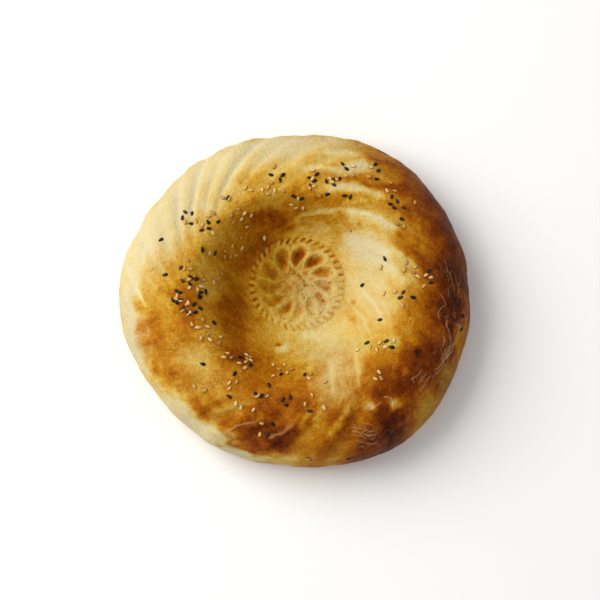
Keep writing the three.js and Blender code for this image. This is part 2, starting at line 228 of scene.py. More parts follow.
# Marks of pulled dough: points on the plan, half width, lift of the surface, change of browning.
STRETCH_MARKS = [
    # above and right of the middle
    ([(-8, 43), (3, 47), (14, 49), (29, 49), (45, 45), (56, 39), (64, 34)], 1.2, -0.5, -0.26),
    ([(29, 47), (41, 44), (52, 39), (62, 33)], 2.6, -0.4, -0.26),
    ([(27, 35), (42, 30), (53, 25), (67, 16), (76, 8)], 2.8, -0.5, -0.32),
    ([(40, 26), (52, 18), (60, 8), (64, 0)], 2.2, -0.4, -0.2),
    ([(16, 60), (30, 61), (41, 60), (58, 55)], 2.4, -0.4, -0.34),
    ([(30, 74), (44, 77)], 2.8, -0.3, -0.34),
    ([(14, 84), (40, 84)], 1.8, -0.3, -0.24),
    ([(0, 73), (16, 74), (30, 70)], 1.6, -0.3, -0.2),
    ([(38, 7), (45, -3), (50, -12), (53, -22)], 1.2, -0.3, -0.16),
    ([(31, 0), (40, -14), (46, -30)], 1.2, -0.3, -0.14),
    # below the middle
    ([(35, -29), (37, -61)], 1.5, -0.3, -0.14),
    ([(21, -35), (22, -64)], 1.5, -0.3, -0.12),
    ([(10, -33), (8, -60)], 1.3, -0.3, -0.1),
    ([(-43, -83), (-26, -78), (-14, -72)], 1.8, 0.3, -0.14),
    ([(-16, -87), (-3, -80), (6, -70)], 1.8, 0.3, -0.12),
    ([(-55, -66), (-44, -63), (-32, -60)], 2.4, 0.3, -0.1),
    ([(-49, -71), (-39, -68), (-21, -61), (1, -50)], 2.4, 0.3, -0.08),
    ([(-52, -75), (-41, -69), (-29, -66), (-20, -66)], 1.7, 0.3, -0.16),
    ([(-46, -84), (-38, -79), (-26, -74)], 1.5, 0.2, -0.08),
    ([(2, -82), (10, -68)], 1.6, 0.3, -0.2),
    ([(20, -86), (27, -75), (32, -66)], 1.8, 0.3, -0.22),
    ([(11, -77), (17, -66)], 1.8, 0.3, -0.2),
    # the left edge
    ([(-100, 19), (-95, 6), (-87, -9)], 1.5, -0.4, -0.2),
    ([(-101, 6), (-97, -6), (-91, -17)], 1.4, -0.35, -0.2),
    ([(-100, 12), (-92, -1), (-85, -12)], 1.1, -0.6, -0.2),
    ([(-91, 32), (-88, 14)], 1.1, -0.5, -0.15),
]

# Thin raised creases of the baked skin, paler than it, partly their own colour and partly a painted
# highlight along them: points on the plan, half width, strength.
CREASES = [
    ([(84, -1), (88, -6), (89, -10)], 0.55, 0.5),
    ([(88, -8), (85, -11), (83, -14), (84, -18)], 0.6, 0.8),
    ([(89, -17), (89, -21), (91, -26), (92, -28)], 0.6, 0.9),
    ([(92, -17), (94, -19), (98, -19), (97, -22), (94, -27), (93, -30), (89, -36), (85, -41)], 0.55, 0.9),
    ([(95, -28), (92, -34), (88, -39), (86, -42), (80, -47)], 0.6, 1.0),
    ([(86, -27), (88, -28), (87, -32), (86, -33)], 0.6, 0.8),
    ([(100, -13), (99, -17), (96, -22)], 0.5, 0.6),
    ([(90, -26), (91, -31), (86, -38), (83, -42)], 0.5, 0.7),
    ([(74, -46), (71, -50), (68, -52), (70, -55)], 0.6, 0.7),
    ([(77, -48), (74, -51), (72, -54)], 0.5, 0.6),
    ([(79, -49), (77, -53), (74, -57), (72, -60)], 0.6, 0.7),
    ([(88, -41), (85, -45), (81, -48)], 0.5, 0.7),
    ([(33, -79), (36, -79.6), (40, -79.3), (41.3, -81), (45, -82.5)], 0.55, 0.8),
    ([(33, -80.6), (36, -81.3), (39, -81)], 0.5, 0.7),
    ([(33, -82.4), (37, -82.8), (41.5, -84), (45, -84.3), (49, -83.3)], 0.55, 0.9),
    ([(34, -84.2), (38, -84.8), (42, -85.4)], 0.5, 0.7),
    ([(42, -82.6), (45, -82), (48, -82.4)], 0.5, 0.6),
    ([(44, -86.2), (48, -85.6)], 0.5, 0.6),
    ([(36, -89.8), (41, -90.4)], 0.5, 0.5),
    ([(37, -87.4), (41, -88), (45, -88.6), (49, -88)], 0.55, 0.8),
    ([(39, -77.5), (43, -77.8), (46, -79)], 0.5, 0.5),
    ([(-42, -82), (-31, -79), (-21, -75)], 1.2, 0.6),
    ([(-15, -86), (-7, -82), (2, -77)], 1.3, 0.55),
    ([(51, -63), (53, -62), (56, -64), (57, -66), (56, -69)], 0.8, 0.9),
    ([(42, -71), (47, -68), (51, -65)], 0.8, 0.7),
    ([(88, 20), (92, 8), (94, -2)], 0.5, 0.5),
    ([(95, 12), (96, 2), (95, -8)], 0.5, 0.4),
    ([(62, 92), (72, 80), (80, 68)], 0.5, 0.5),
    ([(66, 84), (76, 72), (84, 58)], 0.5, 0.5),
    ([(57, 90), (68, 80), (76, 67)], 0.5, 0.4),
]
CREASE_LAYERS = 3                # the creases take turns in these, so that near ones don't share one
CREASE_REACH = 3, 5              # half widths from a crease over which its strength fades

# The lower side and the base, which the photograph doesn't show, have a browning of their own.
SIDE_BAKE = 0.42
BASE_BAKE = 0.42
SIDE_ROWS = 2, 2.4               # rows over which the marks of the top give way to it
SIDE_FADE = 0.85                 # how far they do
LINES_FADE = 20, 28              # heights on the side between which wrinkles and creases fade out
WRINKLE_ROWS = 1.5, 2.0          # rows over which wrinkles fade out

# Browning: its usual level, then browned and pale places, each one
# (x, y, half length, half width, direction of its length in degrees, amount).
BAKE_MEAN = 0.42
BAKED_PLACES = [
    # the dark side, towards the right
    (86, -8, 50, 20, 85, 0.34),
    (77, -16, 12, 7, 80, -0.06),
    (75, -24, 12, 8, 80, -0.06),
    (66, -55, 30, 17, 40, 0.25),
    (78, 56, 32, 16, -50, 0.3),
    (50, 83, 14, 5, -32, 0.2),
    (48, 62, 20, 4, -20, 0.2),
    (20, 56, 26, 4, 0, 0.12),
    (40, 33, 26, 3.5, -28, 0.08),
    (68, 22, 20, 6, -60, 0.16),
    (94, 4, 34, 10, 88, 0.26),
    (57, -80, 14, 9, 110, 0.45),
    (86, -56, 26, 6, 56, -0.13),
    (98, -26, 18, 5, 76, -0.2),
    (58, -67, 6, 3, 40, -0.26),
    (38, -82, 10, 6, 0, 0.1),
    (56, -50, 20, 14, 20, 0.16),
    (47, -89, 13, 7, 20, 0.3),
    (24, -92, 20, 8, 0, 0.14),
    (80, 72, 34, 5, -52, 0.12),
    (34, -72, 14, 8, 20, 0.1),
    # the slope into the middle, left and above
    (-20, 28, 15, 8, 35, 0.24),
    (-36, 8, 24, 12, 85, 0.12),
    (-12, 45, 18, 6, 6, 0.16),
    (-34, -12, 16, 10, 110, 0.2),
    (-34, -30, 10, 6, 100, 0.1),
    (-10, 44, 22, 4, 10, 0.14),
    (16, 38, 16, 5, 0, -0.13),
    # the pale outer edge, from the top round to the lower left
    (-16, 84, 54, 16, 8, -0.18),
    (-62, 55, 42, 18, 48, -0.26),
    (-94, 22, 34, 11, 80, -0.28),
    (-96, -40, 24, 7, 112, -0.36),
    (-68, -76, 30, 10, 140, -0.5),
    (-38, -97, 28, 7, 160, -0.5),
    (-53, -87, 16, 7, 145, -0.2),
    (-8, -98, 14, 5, 0, -0.12),
    # the left side, with its browned spots
    (-60, -8, 14, 9, 90, 0.26),
    (-50, 2, 12, 12, 90, -0.1),
    (-81, -28, 15, 8, 100, 0.16),
    (-62, -26, 10, 6, 60, 0.1),
    (-68, -50, 16, 7, 125, 0.1),
    (-56, -42, 8, 6, 100, -0.1),
    # the rim below the middle
    (-8, -66, 40, 20, 0, 0.24),
    (-28, -40, 18, 8, -10, 0.22),
    (-18, -85, 19, 9, -4, 0.42),
    (2, -79, 13, 5, 50, 0.08),
    (28, -82, 14, 8, 60, 0.14),
    (-46, -72, 14, 5, -20, 0.14),
    # the pale slope right of the middle and below it
    (46, 8, 28, 18, 95, -0.25),
    (40, 29, 11, 8, -35, -0.26),
    (18, -22, 26, 11, 165, -0.24),
    (4, -33, 16, 7, 0, -0.1),
    (6, -22, 18, 5, 5, -0.1),
    (22, -52, 14, 10, 90, -0.12),
]

# Creamy, dusty places, as the browned ones but between 0 and 1.
CREAM_PLACES = [
    (-76, 50, 64, 20, 55, 0.66),
    (-10, 90, 44, 11, 5, 0.75),
    (-97, -18, 44, 8, 95, 0.9),
    (-70, -78, 34, 10, 140, 0.8),
    (-40, -95, 32, 8, 155, 0.85),
    (38, 26, 12, 6, -35, 0.45),
    (36, 74, 12, 4, 0, 0.5),
    (36, 61, 14, 3, -10, 0.4),
    (55, 38, 12, 4, -25, 0.2),
    (92, -54, 20, 5, 55, 0.15),
    (14, 2, 18, 20, 40, 0.4),
    (24, -44, 22, 14, 90, 0.4),
    (44, 8, 20, 30, 0, 0.3),
    (-54, -48, 26, 16, 130, 0.1),
    (44, -68, 5, 3.5, 20, 0.7),
    (56, -66, 4, 3, 60, 0.4),
]

# Places of a greener, duller gold, as the creamy ones.
OLIVE_PLACES = [
    (-14, 12, 18, 22, 20, 0.6),
    (-34, 2, 8, 26, 0, 0.3),
    (93, -50, 26, 7, 58, 0.7),
    (72, -76, 20, 6, 45, 0.5),
    (70, 72, 26, 6, -50, 0.4),
    (20, -30, 20, 8, 0, 0.3),
]

# Wrinkled skin, as the creamy places. Its lines are paler, partly their own colour and partly a painted
# highlight.
WRINKLED_PLACES = [
    (92, -28, 34, 9, 70, 1.0),
    (82, -52, 20, 8, 50, 0.9),
    (44, -84, 14, 8, 0, 1.0),
    (72, 78, 26, 8, -50, 0.5),
    (98, 12, 24, 5, 90, 0.6),
    (88, 4, 14, 7, 90, 0.7),
]

# Browning in the stamp: its usual level, then places as above but from the stamp's middle. The
# petals' floors are darker, partly toasted and partly painted shade in these hollows, and their lips
# pale, on some sides more; the dashes are darker with painted shade in their grooves.
STAMP_BAKE = 0.36
STAMP_BAKED_PLACES = [
    (-18, 8, 24, 24, 0, 0.14),
    (18, -20, 24, 10, 50, -0.1),
    (-2, -25, 20, 8, 0, -0.1),
]
PETAL_BAKE_AND_SHADE = 0.15
TOASTED_AND_SHADED_PETALS = [(65, 42, 0.3), (-25, 20, 0.35), (245, 22, 0.55)]
LIP_PALENESS = 0.05
PALE_LIPS = [(50, 80, 0.1)]
DASH_SHADE, DASH_SHADE_IN_STAMP = 0.21, 0.31
BETWEEN_DASH_LIGHT = 0.2              # painted light on what lies between two dashes, as a share of their painted shade
DASH_RIPPLE = 0.25, 12, 38

# Blisters and pits: (x, y, radius, height, change of browning).
BLISTERS = [
    (82, 3, 2.6, 0.7, -0.15),
    (44, -68, 3.2, 0.4, -0.4),
    (56, -66, 2.6, 0.3, -0.25),
    (57, -31, 3.2, 0.5, -0.35),
    (57, -31, 1.5, -0.6, 0.3),
    (71, -37, 2.4, -0.3, 0.26),
    (72, -38, 1.2, 0.3, -0.1),
    (64, -48, 2.4, 0.4, -0.2),
    (-7, -31, 3.4, 0.5, -0.3),
    (-9, -29, 1.6, -0.6, 0.5),
    (35, -4, 1.8, -0.5, 0.3),
    (34, -14, 1.8, -0.4, 0.25),
    (38, 40, 1.4, -0.3, 0.2),
]

# Pin pricks of the stamp, in arcs: (x and y from the stamp's middle, radius, first and last direction
# in degrees, pricks).
PRICK_ARCS = [
    (-2.6, -1.5, 7.5, 105, 10, 9),
    (11, -13, 5.5, 130, 400, 15),
    (7, -5, 4.2, 30, 330, 10),
    (0, 0, 19.8, -6, -1, 2),
    (0, 0, 21.6, 23, 29, 2),
    (0, 0, 21.2, 70, 74, 2),
    (0, 0, 20.5, 138, 143, 2),
    (0, 0, 22.4, 232, 262, 5),
]
PRICK_RADIUS = 0.38
PRICK_DEPTH = 0.5
PRICK_SCATTER = 0.2

# What the random draws start from, and how each number follows from the last.
SCATTER_START, PRICK_START, TONE_START = 7, 11, 23
RANDOM_FACTOR, RANDOM_STEP, RANDOM_SPAN = 1664525, 1013904223, 2 ** 32


def radians(degrees):
    return degrees * math.pi / 180


def make_random(seed):
    """A repeatable draw between 0 and 1, the same as the solid's."""
    state = [seed]

    def draw():
        state[0] = (state[0] * RANDOM_FACTOR + RANDOM_STEP) % RANDOM_SPAN
        return state[0] / RANDOM_SPAN

    return draw


def ramp(value, low, high):
    x = np.clip((value - low) / (high - low), 0, 1)
    return x * x * (3 - 2 * x)


def wave(one, angle):
    count, height, peak = one
    return height * np.cos(count * (angle - radians(peak)))


def waves(rows, angle):
    return sum(wave(one, angle) for one in rows)


def outline(angle):
    radius = OUTLINE_RADIUS + waves(OUTLINE_WAVES, angle)
    return radius * np.cos(angle), radius * np.sin(angle)


def outline_middle():
    x, y = outline(np.arange(OUTLINE_STEPS) * TURN / OUTLINE_STEPS)
    return (x.min() + x.max()) / 2, (y.min() + y.max()) / 2


MIDDLE_X, MIDDLE_Y = outline_middle()


def plan_point(angle, share):
    outer_x, outer_y = outline(angle)
    inner_x = STAMP_X + STAMP_RADIUS * np.cos(angle)
    inner_y = STAMP_Y + STAMP_RADIUS * np.sin(angle)
    x = inner_x + (outer_x - MIDDLE_X - inner_x) * share
    y = inner_y + (outer_y - MIDDLE_Y - inner_y) * share
    return x, y


def column_angle(column, share):
    """Direction of a column of the grid: a spiral, crowded and opened like the flutes it follows."""
    even = TURN * column
    crowding = sum(height * np.sin(count * (even - radians(peak)))
                   for count, height, peak in FLUTE_CROWDING)
    turned = np.log(OUTLINE_RADIUS / (STAMP_RADIUS + (OUTLINE_RADIUS - STAMP_RADIUS) * share))
    uneven = wave(FLUTE_PITCH_WAVE, even) * turned - crowding
    return even + FLUTE_PITCH * turned + ramp(share, 0, FLUTE_SETTLED_SHARE) * uneven


def section(t, angle):
    """Share of the way out, height and outward tilt of the surface at row t.

    Row 0 is the stamp's edge, row 1 the crest, row 2 the girth and row 3 the foot.
    """
    crest_share = CREST_SHARE + wave(CREST_SHARE_WAVE, angle)
    crest = CREST_HEIGHT + waves(CREST_WAVES, angle)
    flat = np.zeros_like(angle)
    if t <= 1:
        rise = 0.5 - 0.5 * math.cos(math.pi * t ** SLOPE_EASE)
        return crest_share * t, FLOOR_HEIGHT + (crest - FLOOR_HEIGHT) * rise, flat
    if t <= 2:
        turn = (t - 1) * math.pi / 2
        out = math.sin(turn) ** SHOULDER_FULLNESS
        up = max(math.cos(turn), 0) ** SHOULDER_FULLNESS
        share = crest_share + (1 - crest_share) * out
        return share, GIRTH_HEIGHT + (crest - GIRTH_HEIGHT) * up, flat + math.sin(turn)
    turn = (t - 2) * math.pi / 2
    share = 1 - FOOT_INSET / OUTLINE_RADIUS * (1 - math.cos(turn))
    return share + flat, GIRTH_HEIGHT * (1 - math.sin(turn)) + flat, flat + 1


class Surface:
    """Rows of points with what the relief and the browning need to know about each.

    Apart from its place, a point has its outward tilt (0 faces up, 1 sideways), its direction, its
    column (0 to 1 round the loaf), its share of the way out and its row (below 0 in the stamp, then
    as in section, above 3 on the base).
    """

    FIELDS = ("x", "y", "z", "tilt", "angle", "column", "share", "row")

    def __init__(self):
        self.data = {name: [] for name in self.FIELDS}
        self.rows = []
        self.faces = []
        self.count = 0

    def add(self, **values):
        size = len(values["x"])
        for name in self.FIELDS:
            self.data[name].append(np.broadcast_to(np.asarray(values[name], float), size))
        self.rows.append((self.count, size))
        self.count += size

    def rim_row(self, count, t):
        column = np.arange(count) / count
        straight, _, _ = section(t, TURN * column)
        angle = column_angle(column, straight)
        share, height, tilt = section(t, angle)
        x, y = plan_point(angle, share)
        self.add(x=x, y=y, z=height, tilt=tilt, angle=angle, column=column, share=share, row=t)

    def stamp_row(self, count, radius):
        column = np.arange(count) / count
        angle = column_angle(column, 0) + FLOWER_SWEEP * (1 - radius / STAMP_RADIUS)
        x = STAMP_X + radius * np.cos(angle)
        y = STAMP_Y + radius * np.sin(angle)
        self.add(x=x, y=y, z=FLOOR_HEIGHT, tilt=0, angle=angle, column=column,
                 share=0, row=radius / STAMP_RADIUS - 1)

    def base_row(self, count, part):
        column = np.arange(count) / count
        share, _, _ = section(3, TURN * column)
        angle = column_angle(column, share)
        x, y = plan_point(angle, share)
        self.add(x=x * part, y=y * part, z=0, tilt=1, angle=angle, column=column,
                 share=part, row=4 - part)

    def join(self, first, second):
        """Quads between rows of equal count, or three triangles a step where one has twice the count."""
        (a0, a_count), (b0, b_count) = first, second
        if a_count == b_count:
            i = np.arange(a_count)
            j = (i + 1) % a_count
            self.faces.extend(np.stack([a0 + i, b0 + i, b0 + j, a0 + j], 1).tolist())
            return
        flip = a_count > b_count
        if flip:
            a0, a_count, b0, b_count = b0, b_count, a0, a_count
        i = np.arange(a_count)
        a = a0 + i
        b = a0 + (i + 1) % a_count
        c = b0 + 2 * i
        d = b0 + (2 * i + 1) % b_count
        e = b0 + (2 * i + 2) % b_count
        for one, two, three in ((a, c, d), (a, d, b), (b, d, e)):
            order = (one, three, two) if flip else (one, two, three)
            self.faces.extend(np.stack(order, 1).tolist())

    def close(self, row, z, upward):
        start, count = row
        tip = self.count
        self.add(x=[STAMP_X if upward else 0.0], y=[STAMP_Y if upward else 0.0], z=z,
                 tilt=0 if upward else 1, angle=0, column=0, share=0, row=-1 if upward else 4)
        for i in range(count):
            a, b = start + i, start + (i + 1) % count
            self.faces.append([tip, a, b] if upward else [tip, b, a])

    def field(self, name):
        return np.concatenate(self.data[name])


def make_surface():
    surface = Surface()
    for rows, add_row in ((STAMP_ROWS, surface.stamp_row), (RIM_ROWS, surface.rim_row)):
        for start, end, steps, count in rows:
            for place in np.linspace(start, end, steps):
                add_row(count, place)
    for part, count in BASE_ROWS:
        surface.base_row(count, part)
    top_row, bottom_row = surface.rows[0], surface.rows[-1]
    for first, second in zip(surface.rows[:-1], surface.rows[1:]):
        surface.join(first, second)
    surface.close(top_row, FLOOR_HEIGHT, True)
    surface.close(bottom_row, 0, False)
    return surface


# ---------------------------------------------------------------- relief

def ripple(x, y, z, length, seed):
    """A smooth random field about -1 to 1 whose bumps are about this long, from seeded waves."""
    draw = make_random(seed)
    total = np.zeros_like(x)
    for _ in range(RIPPLE_WAVES):
        up = 2 * draw() - 1
        around = TURN * draw()
        flat = math.sqrt(1 - up * up)
        own_length = length * (RIPPLE_SHORTEST + (RIPPLE_LONGEST - RIPPLE_SHORTEST) * draw())
        along = x * flat * math.cos(around) + y * flat * math.sin(around) + z * up
        total += np.sin(TURN * (along / own_length + draw()))
    return total * math.sqrt(2 / RIPPLE_WAVES) * RIPPLE_SPREAD


def ripples(x, y, z, rows):
    return sum(amount * ripple(x, y, z, length, seed) for amount, length, seed in rows)


def dip(x, y, z, depth, length, seed):
    """Ripples that only take away, mostly between nothing and twice this depth."""
    return depth * (ripple(x, y, z, length, seed) - 1)


def bend(x, y, z, rows):
    """The plan, shifted by ripples."""
    shift_x = ripples(x, y, z, [(shift, length, seed) for shift, length, seed, _ in rows])
    shift_y = ripples(x, y, z, [(shift, length, seed) for shift, length, _, seed in rows])
    return x + shift_x, y + shift_y


def flute_parts(column, row, angle):
    """The groove's profile (1 in the groove, 0 on the lobe) and how strongly it is cut here."""
    strength = ramp(row, FLUTE_START, FLUTE_FULL) * (1 - ramp(row, FLUTE_FADE, FLUTE_END))
    for direction, width, smoothing in SMOOTH_SIDES:
        strength = strength * (1 - smoothing * facing(angle, direction, width))
    flute = np.round(FLUTES * column)
    groove = np.exp(-((FLUTES * column - flute) / FLUTE_GROOVE) ** 2)
    own = 1 + FLUTE_UNEVENNESS * np.sin(FLUTE_VARIETY * flute)
    return groove, own * strength


def pressure(angle):
    """How firmly the stamp was pressed in here, from 0.3 to 1."""
    return 1 - STAMP_FAINTNESS[1] - wave(STAMP_FAINTNESS, angle)


def petal_relief(angle, radius):
    """The petals' floors and the lips round them, each from 0 to 1."""
    even = angle - radians(wave(PETAL_CROWDING, angle) + PETAL_START)
    turns = even * PETALS / TURN
    across = (turns - np.round(turns)) * TURN / PETALS * radius
    along = (radius - PETAL_MIDDLE) / PETAL_HALF_LENGTH
    half_width = np.maximum(PETAL_HALF_WIDTH * (1 + PETAL_NARROWING * along), PETAL_LEAST_WIDTH)
    reach = np.hypot(along, across / half_width)
    floor = 1 - ramp(reach, *PETAL_FLOOR)
    lip = np.exp(-((reach - LIP_REACH) / LIP_WIDTH) ** 2) * ramp(radius, *LIP_RADII)
    return floor, lip


def distance_to_line(x, y, points):
    """Distance to a run of straight stretches, how far along it the nearest place is, and the side."""
    best = np.full_like(x, np.inf)
    place = np.zeros_like(x)
    side = np.ones_like(x)
    lengths = [math.dist(a, b) for a, b in zip(points[:-1], points[1:])]
    done = 0
    for (ax, ay), (bx, by), length in zip(points[:-1], points[1:], lengths):
        dx, dy = (bx - ax) / length, (by - ay) / length
        along = np.clip((x - ax) * dx + (y - ay) * dy, 0, length)
        gap = np.hypot(x - ax - along * dx, y - ay - along * dy)
        nearer = gap < best
        best = np.where(nearer, gap, best)
        place = np.where(nearer, (done + along) / sum(lengths), place)
        side = np.where(nearer, np.where((y - ay) * dx > (x - ax) * dy, 1, -1), side)
        done += length
    return best, place, side


def fade_ends(place):
    return ramp(place, *LINE_START) * (1 - ramp(place, *LINE_END))


def find_creases(x, y):
    """In each layer, the signed distance to its nearest crease, in half widths, and its strength."""
    gaps = np.full((len(x), CREASE_LAYERS), CREASE_REACH[1], float)
    strengths = np.zeros_like(gaps)
    for number, (line, half_width, strength) in enumerate(CREASES):
        layer = number % CREASE_LAYERS
        gap, place, side = distance_to_line(x, y, line)
        gap = gap / half_width
        nearer = gap < np.abs(gaps[:, layer])
        fade = fade_ends(place) * (1 - ramp(gap, *CREASE_REACH))
        gaps[nearer, layer] = (gap * side)[nearer]
        strengths[nearer, layer] = (strength * fade)[nearer]
    return gaps, strengths


def facing(angle, direction, half_angle):
    """1 in this direction, falling off to both sides of it."""
    off = np.arctan2(np.sin(angle - radians(direction)), np.cos(angle - radians(direction)))
    return np.exp(-(off / radians(half_angle)) ** 2)


def sides(angle, rows):
    return sum(amount * facing(angle, direction, half_angle) for direction, half_angle, amount in rows)


def spot(x, y, middle_x, middle_y, half_length, half_width, direction):
    """A soft-edged oval, 1 in its middle."""
    along_x, along_y = math.cos(radians(direction)), math.sin(radians(direction))
    along = ((x - middle_x) * along_x + (y - middle_y) * along_y) / half_length
    across = ((y - middle_y) * along_x - (x - middle_x) * along_y) / half_width
    return np.exp(-(along * along + across * across) ** SPOT_EDGE)


def spots(x, y, places):
    return sum(amount * spot(x, y, *oval) for *oval, amount in places)


def strongest(x, y, places):
    """How strongly the strongest of these places shows here."""
    total = np.zeros_like(x)
    for *oval, amount in places:
        total = np.maximum(total, amount * spot(x, y, *oval))
    return total


def dash_relief(x, y, z, angle, column, radius, row):
    """How strongly the ring of dashes shows here, and its wave: 1 in a dash, -1 between two."""
    slant = wave(DASH_SLANT, angle) - DASH_SWEEP
    dash = np.cos(TURN * (DASHES * column + slant * (radius - DASH_MIDDLE)))
    ring = ramp(radius, *DASH_START) * (1 - ramp(radius, *DASH_END)) * (row < DASH_LAST_ROW)
    return ring * (1 + dip(x, y, z, *DASH_RIPPLE)), dash


def find_pricks(x, y):
    """1 in the middle of a pin prick of the stamp, 0 outside it."""
    pricks = np.zeros_like(x)
    draw = make_random(PRICK_START)
    for arc_x, arc_y, arc_radius, first, last, count in PRICK_ARCS:
        for i in range(count):
            turn = radians(first + (last - first) * i / (count - 1)) + PRICK_SCATTER * (draw() - 0.5)
            gap_x = x - STAMP_X - arc_x - arc_radius * math.cos(turn)
            gap_y = y - STAMP_Y - arc_y - arc_radius * math.sin(turn)
            pricks += np.exp(-(gap_x ** 2 + gap_y ** 2) / PRICK_RADIUS ** 2)
    return np.clip(pricks, 0, 1)


def shape_crust(surface):
    """Adds the relief to the surface and works out its browning, with painted shade in places, and its
    other marks.
    """
    x, y, z = (surface.field(name) for name in ("x", "y", "z"))
    tilt, angle, column, share, row = (
        surface.field(name) for name in ("tilt", "angle", "column", "share", "row"))
    in_stamp = row < 0
    on_top = (row >= 0) & (row < 3)
    radius = np.hypot(x - STAMP_X, y - STAMP_Y)

    # Browned and other places have ragged edges, because their plan is bent.
    bent_x, bent_y = bend(x, y, z, RAGGED_EDGES)
    lift = np.zeros_like(x)
    bake_and_shade = BAKE_MEAN + spots(bent_x, bent_y, BAKED_PLACES)
    cream, olive, wrinkle = (strongest(bent_x, bent_y, places)
                             for places in (CREAM_PLACES, OLIVE_PLACES, WRINKLED_PLACES))

    # Marks that are worked out in plan fade down the side, which has a browning of its own.
    low = SIDE_FADE * ramp(row, *SIDE_ROWS)
    bake_and_shade += low * (SIDE_BAKE + ripples(x, y, z, SIDE_RIPPLES) - bake_and_shade)
    cream, olive = cream * (1 - low), olive * (1 - low)
    seen = np.where(row > 1, ramp(z, *LINES_FADE), 1)
    wrinkle = wrinkle * seen * (1 - ramp(row, *WRINKLE_ROWS))

    groove, cut = flute_parts(column, row, angle)
    groove, cut = np.where(on_top, groove, 0), np.where(on_top, cut, 0)
    lift -= FLUTE_DEPTH * cut * groove
    bake_and_shade -= FLUTE_PALENESS * cut * (groove - FLUTE_MEAN)
    cream += cut * groove * (GROOVE_CREAM + sides(angle, CREAMY_GROOVES))
    # Painted shade: the dark side's edge, turned away from the light, is made darker.
    bake_and_shade += ramp(row, *EDGE_ROWS) * sides(angle, EDGE_SHADE)
    bake_and_shade += ripples(x, y, z, BAKE_RIPPLES)

    wavy_x, wavy_y = bend(x, y, z, WAVY_LINES)
    gaps, strengths = find_creases(wavy_x, wavy_y)
    strengths = strengths * (on_top * seen)[:, None]
    for line, half_width, height, browning in STRETCH_MARKS:
        gap, place, _ = distance_to_line(wavy_x, wavy_y, line)
        mark = np.exp(-(gap / half_width) ** 2) * fade_ends(place) * on_top
        lift += height * mark
        bake_and_shade += browning * mark

    for spot_x, spot_y, size, height, browning in BLISTERS:
        bump = np.exp(-((wavy_x - spot_x) ** 2 + (wavy_y - spot_y) ** 2) / size ** 2) * on_top
        lift += height * bump
        bake_and_shade += browning * bump

    # The skin's ripples only lower it, so that it stays inside the solid.
    skin = on_top * (1 - ramp(row, 2, 3))
    lift += skin * ramp(row, *BROAD_ROWS) * dip(x, y, z, *BROAD_RIPPLES)
    lift += skin * dip(x, y, z, *MIDDLING_RIPPLES)
    lift += (skin + FINE_IN_STAMP * in_stamp) * dip(x, y, z, *FINE_RIPPLES)

    # The stamp: petals, slanted dashes, the knob and pin pricks.
    petal_angle = column_angle(column, 0) + FLOWER_SWEEP * (1 - PETAL_MIDDLE / STAMP_RADIUS)
    floor, lip = petal_relief(petal_angle, radius)
    firm = pressure(petal_angle) * in_stamp
    floor, lip = floor * firm, lip * firm
    lift += PETAL_LIP * lip - PETAL_DEPTH * floor
    ring, dash = dash_relief(x, y, z, angle, column, radius, row)
    lift -= DASH_DEPTH * pressure(angle) * dash * ring
    lift += KNOB_HEIGHT * (1 - ramp(radius, 0, KNOB_RADIUS)) * in_stamp
    pricks = find_pricks(x, y) * in_stamp
    lift -= PRICK_DEPTH * pricks

    stamp_bake = STAMP_BAKE + ripples(x, y, z, STAMP_RIPPLES)
    stamp_bake += spots(x - STAMP_X, y - STAMP_Y, STAMP_BAKED_PLACES)
    bake_and_shade = np.where(in_stamp, stamp_bake, bake_and_shade)
    # The petals' floors are made darker: partly toasting, partly painted shade in these hollows.
    bake_and_shade += floor * (PETAL_BAKE_AND_SHADE + sides(petal_angle, TOASTED_AND_SHADED_PETALS))
    bake_and_shade -= lip * (LIP_PALENESS + sides(petal_angle, PALE_LIPS))
    # Painted shade in the dash grooves, and painted light on what lies between them.
    shaded_dash = np.where(in_stamp, DASH_SHADE_IN_STAMP, DASH_SHADE) * np.clip(dash, -BETWEEN_DASH_LIGHT, 1)
    bake_and_shade += shaded_dash * ring * (1 + pressure(angle)) / 2
    bake_and_shade = np.where(row > 3, BASE_BAKE, bake_and_shade)

    level = np.sqrt(1 - tilt * tilt)
    x = x + lift * tilt * np.cos(angle)
    y = y + lift * tilt * np.sin(angle)
    z = z + lift * level
    flow = np.stack([FLOW_RADIUS * np.cos(TURN * column), FLOW_RADIUS * np.sin(TURN * column),
                     FLOW_LENGTH * (share + row * in_stamp)], 1) * MM
    marks = {"bake_and_shade": bake_and_shade, "cream": cream, "olive": olive, "wrinkle": wrinkle * on_top,
             "prick": pricks, "flow": flow, "crease": gaps, "crease_strength": strengths}
    return np.stack([x, y, z], 1) * MM, marks


def make_mesh(name, points, faces, marks):
    mesh = bpy.data.meshes.new(name)
    mesh.from_pydata(points.tolist(), [], faces)
    for key, values in marks.items():
        values = np.asarray(values, np.float32)
        vector = values.ndim == 2
        layer = mesh.attributes.new(key, "FLOAT_VECTOR" if vector else "FLOAT", "POINT")
        layer.data.foreach_set("vector" if vector else "value", values.ravel())
    mesh.polygons.foreach_set("use_smooth", np.ones(len(mesh.polygons), bool))
    mesh.update()
    piece = bpy.data.objects.new(name, mesh)
    bpy.context.collection.objects.link(piece)
    return piece


# ---------------------------------------------------------------- seeds

def scatter_seeds():
    """The same places as the solid's fused seeds, from the same draws."""
    draw = make_random(SCATTER_START)
    seeds = []
    for x, y, half_width, half_depth, dark, pale in SEED_PATCHES:
        for i in range(dark + pale):
            for _ in range(SEED_TRIES):
                reach = math.sqrt(draw())
                angle = TURN * draw()
                place = (x + half_width * reach * math.cos(angle),
                         y + half_depth * reach * math.sin(angle))
                if all(math.dist(place, seed[0]) > SEED_SPACING for seed in seeds):
                    break
            heading = TURN * draw()
            scale = SEED_LEAST + (SEED_MOST - SEED_LEAST) * draw()
            seeds.append((place, heading, scale, i < dark))
    return seeds


